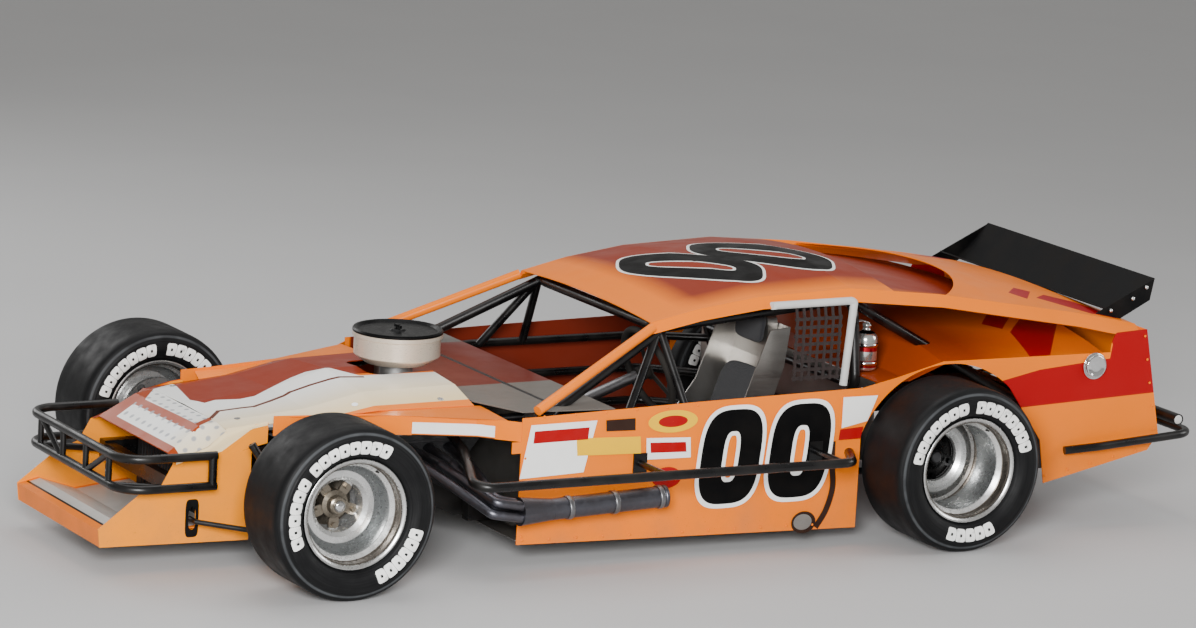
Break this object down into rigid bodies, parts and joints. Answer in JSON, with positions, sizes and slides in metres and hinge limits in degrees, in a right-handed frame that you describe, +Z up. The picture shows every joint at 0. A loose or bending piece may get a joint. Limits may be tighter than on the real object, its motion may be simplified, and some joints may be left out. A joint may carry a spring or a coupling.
{
  "type": "modified stock car",
  "caption": "Open-wheel short-track stock car with a steel frame and cage, flat sheet bodywork, exposed front wheels, open windows, steering and spinning wheels.",
  "frame": {"origin": "on the ground below the centre of the car, half way between the nose and the rear bumper", "axes": "+X forward, +Y to the car's left, +Z up"},
  "size_m": [4.72, 2.14, 1.0429],
  "materials": {
    "orange_paint": "gloss paint",
    "frame_black": "satin paint",
    "tyre_rubber": "matte",
    "wheel_silver": "satin",
    "tin_grey": "satin",
    "engine_grey": "rough",
    "bare_aluminium": "satin",
    "exhaust_steel": "heat stained",
    "filter_case": "brushed",
    "spoiler_black": "matte",
    "net_webbing": "woven",
    "wheel_grip": "matte",
    "bottle_red": "gloss",
    "bright_chrome": "polished",
    "cell_black": "matte",
    "steel_grey": "satin"
  },
  "bodies": {
    "chassis": {"frame_rails": "frame_black", "roll_cage": "frame_black", "halo": "frame_black", "left_door_bars": "frame_black", "right_door_bars": "frame_black", "engine_bars": "frame_black", "floor_pan": "tin_grey", "left_side_panel": "orange_paint", "right_side_panel": "orange_paint", "left_quarter_panel": "orange_paint", "right_quarter_panel": "orange_paint", "left_roof_rail": "orange_paint", "right_roof_rail": "orange_paint", "roof_panel": "orange_paint", "backlight_panel": "orange_paint", "deck_panel": "orange_paint", "tail_panel": "orange_paint", "spoiler": "spoiler_black", "hood": "orange_paint", "nose_cowl": "orange_paint", "nose_sides": "orange_paint", "nose_pan": "orange_paint", "radiator": "bare_aluminium", "firewall": "tin_grey", "cowl_panel": "tin_grey", "dashboard": "tin_grey", "interior_deck": "orange_paint", "bulkhead": "tin_grey", "seat": "bare_aluminium", "steering_column": "steel_grey", "window_net": "net_webbing", "bottle": "bottle_red", "fuel_cell": "cell_black", "filler_cap": "bright_chrome", "engine_block": "engine_grey", "valve_covers": "bare_aluminium", "intake": "bare_aluminium", "air_cleaner": "filter_case", "headers": "exhaust_steel", "gearbox": "bare_aluminium", "driveshaft": "steel_grey", "rear_axle": "steel_grey", "rear_links": "frame_black", "front_bumper": "frame_black", "rear_bumper": "frame_black", "side_bars": "frame_black", "front_arms": "frame_black"},
    "steering_wheel": {"steering_wheel": "wheel_grip"},
    "left_knuckle": {"left_knuckle": "steel_grey"},
    "right_knuckle": {"right_knuckle": "steel_grey"},
    "tie_rod": {"tie_rod": "steel_grey"},
    "left_front_wheel": {"left_front_tyre": "tyre_rubber", "left_front_wheel": "wheel_silver"},
    "right_front_wheel": {"right_front_tyre": "tyre_rubber", "right_front_wheel": "wheel_silver"},
    "left_rear_wheel": {"left_rear_tyre": "tyre_rubber", "left_rear_wheel": "wheel_silver"},
    "right_rear_wheel": {"right_rear_tyre": "tyre_rubber", "right_rear_wheel": "wheel_silver"}
  },
  "joints": [
    {"name": "left_steer", "type": "hinge", "parent": "chassis", "child": "left_knuckle", "pos_m": [1.603, 0.7, 0.335], "axis": [0, 0, 1], "range_deg": [-20, 20]},
    {"name": "right_steer", "type": "hinge", "parent": "chassis", "child": "right_knuckle", "pos_m": [1.603, -0.7, 0.335], "axis": [0, 0, 1], "range_deg": [-20, 20]},
    {"name": "tie_rod_slide", "type": "slide", "parent": "chassis", "child": "tie_rod", "axis": [0, 1, 0], "range_m": [-0.047, 0.047]},
    {"name": "steering_wheel_turn", "type": "hinge", "parent": "chassis", "child": "steering_wheel", "pos_m": [-0.01974, 0.345, 0.655], "axis": [0.9397, 0, -0.342], "range_deg": [-245, 245]},
    {"name": "left_front_spin", "type": "hinge", "parent": "left_knuckle", "child": "left_front_wheel", "pos_m": [1.603, 0.905, 0.335], "axis": [0, 1, 0], "continuous": true},
    {"name": "right_front_spin", "type": "hinge", "parent": "right_knuckle", "child": "right_front_wheel", "pos_m": [1.603, -0.905, 0.335], "axis": [0, 1, 0], "continuous": true},
    {"name": "left_rear_spin", "type": "hinge", "parent": "chassis", "child": "left_rear_wheel", "pos_m": [-1.115, 0.905, 0.335], "axis": [0, 1, 0], "continuous": true},
    {"name": "right_rear_spin", "type": "hinge", "parent": "chassis", "child": "right_rear_wheel", "pos_m": [-1.115, -0.905, 0.335], "axis": [0, 1, 0], "continuous": true}
  ],
  "couplings": [
    {"joint": "right_steer", "follows": "left_steer", "ratio": 1},
    {"joint": "tie_rod_slide", "follows": "left_steer", "m_per_rad": -0.13},
    {"joint": "steering_wheel_turn", "follows": "left_steer", "ratio": -12}
  ]
}
